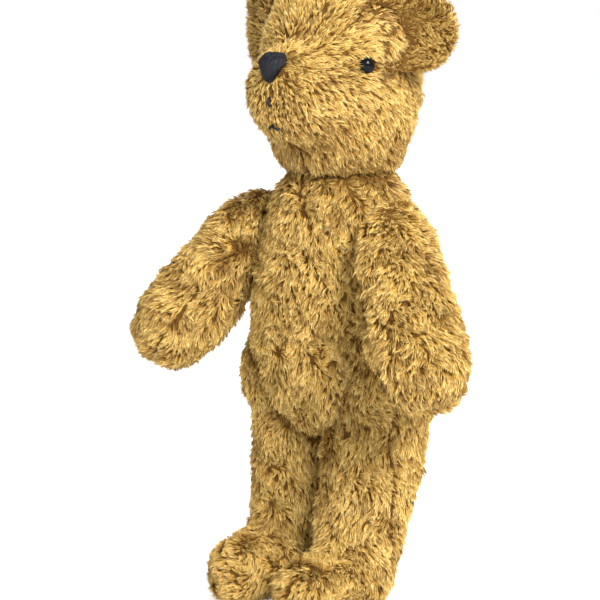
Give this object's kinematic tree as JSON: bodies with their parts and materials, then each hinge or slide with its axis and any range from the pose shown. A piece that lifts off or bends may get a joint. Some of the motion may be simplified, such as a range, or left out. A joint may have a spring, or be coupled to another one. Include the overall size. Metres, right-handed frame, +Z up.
{
  "type": "jointed teddy bear",
  "caption": "Jointed teddy bear of golden plush, standing on its soles, with a turning head, swinging arms and swinging legs on disc joints.",
  "frame": {"origin": "on the ground, under the middle of the bear's box", "axes": "+Z up, the bear faces -Y, the bear's left side is +X"},
  "size_m": [0.2116, 0.1299, 0.338],
  "materials": {
    "plush": "golden plush pile of short tufts",
    "stuffing": "loose fibre filling",
    "hardboard": "pressed board",
    "steel": "plain steel",
    "eye": "glossy black",
    "thread": "satin embroidery thread"
  },
  "bodies": {
    "torso": {"torso_front_left_plush": "plush", "torso_front_right_plush": "plush", "torso_back_left_plush": "plush", "torso_back_right_plush": "plush", "torso_stuffing": "stuffing", "torso_joint_washers": "steel", "neck_torso_disc": "hardboard", "left_shoulder_torso_disc": "hardboard", "left_hip_torso_disc": "hardboard", "right_shoulder_torso_disc": "hardboard", "right_hip_torso_disc": "hardboard"},
    "head": {"head_left_plush": "plush", "head_right_plush": "plush", "head_gusset_plush": "plush", "head_stuffing": "stuffing", "neck_head_disc": "hardboard", "neck_head_washer": "steel", "neck_cotter_pin": "steel", "nose_stitching": "thread", "mouth_stitching": "thread", "left_eye": "eye", "right_eye": "eye", "left_ear_front_plush": "plush", "left_ear_back_plush": "plush", "right_ear_front_plush": "plush", "right_ear_back_plush": "plush"},
    "left_arm": {"left_arm_inner_plush": "plush", "left_arm_outer_plush": "plush", "left_arm_stuffing": "stuffing", "left_shoulder_arm_disc": "hardboard", "left_shoulder_arm_washer": "steel", "left_shoulder_cotter_pin": "steel"},
    "left_leg": {"left_sole_plush": "plush", "left_leg_inner_plush": "plush", "left_leg_outer_plush": "plush", "left_leg_stuffing": "stuffing", "left_hip_leg_disc": "hardboard", "left_hip_leg_washer": "steel", "left_hip_cotter_pin": "steel"},
    "right_arm": {"right_arm_inner_plush": "plush", "right_arm_outer_plush": "plush", "right_arm_stuffing": "stuffing", "right_shoulder_arm_disc": "hardboard", "right_shoulder_arm_washer": "steel", "right_shoulder_cotter_pin": "steel"},
    "right_leg": {"right_sole_plush": "plush", "right_leg_inner_plush": "plush", "right_leg_outer_plush": "plush", "right_leg_stuffing": "stuffing", "right_hip_leg_disc": "hardboard", "right_hip_leg_washer": "steel", "right_hip_cotter_pin": "steel"}
  },
  "joints": [
    {"name": "neck_turn", "type": "hinge", "parent": "torso", "child": "head", "pos_m": [0, 0.0194, 0.228], "axis": [0, 0, 1], "range_deg": [-80, 80]},
    {"name": "left_shoulder_swing", "type": "hinge", "parent": "torso", "child": "left_arm", "pos_m": [0.037, 0.0074, 0.195], "axis": [0.9703, 0, 0.2419], "range_deg": [-80, 45]},
    {"name": "right_shoulder_swing", "type": "hinge", "parent": "torso", "child": "right_arm", "pos_m": [-0.037, 0.0074, 0.195], "axis": [0.9703, 0, -0.2419], "range_deg": [-80, 45]},
    {"name": "left_hip_swing", "type": "hinge", "parent": "torso", "child": "left_leg", "pos_m": [0.013, 0.0194, 0.12], "axis": [1, 0, 0], "range_deg": [-85, 20]},
    {"name": "right_hip_swing", "type": "hinge", "parent": "torso", "child": "right_leg", "pos_m": [-0.013, 0.0194, 0.12], "axis": [1, 0, 0], "range_deg": [-85, 20]}
  ]
}
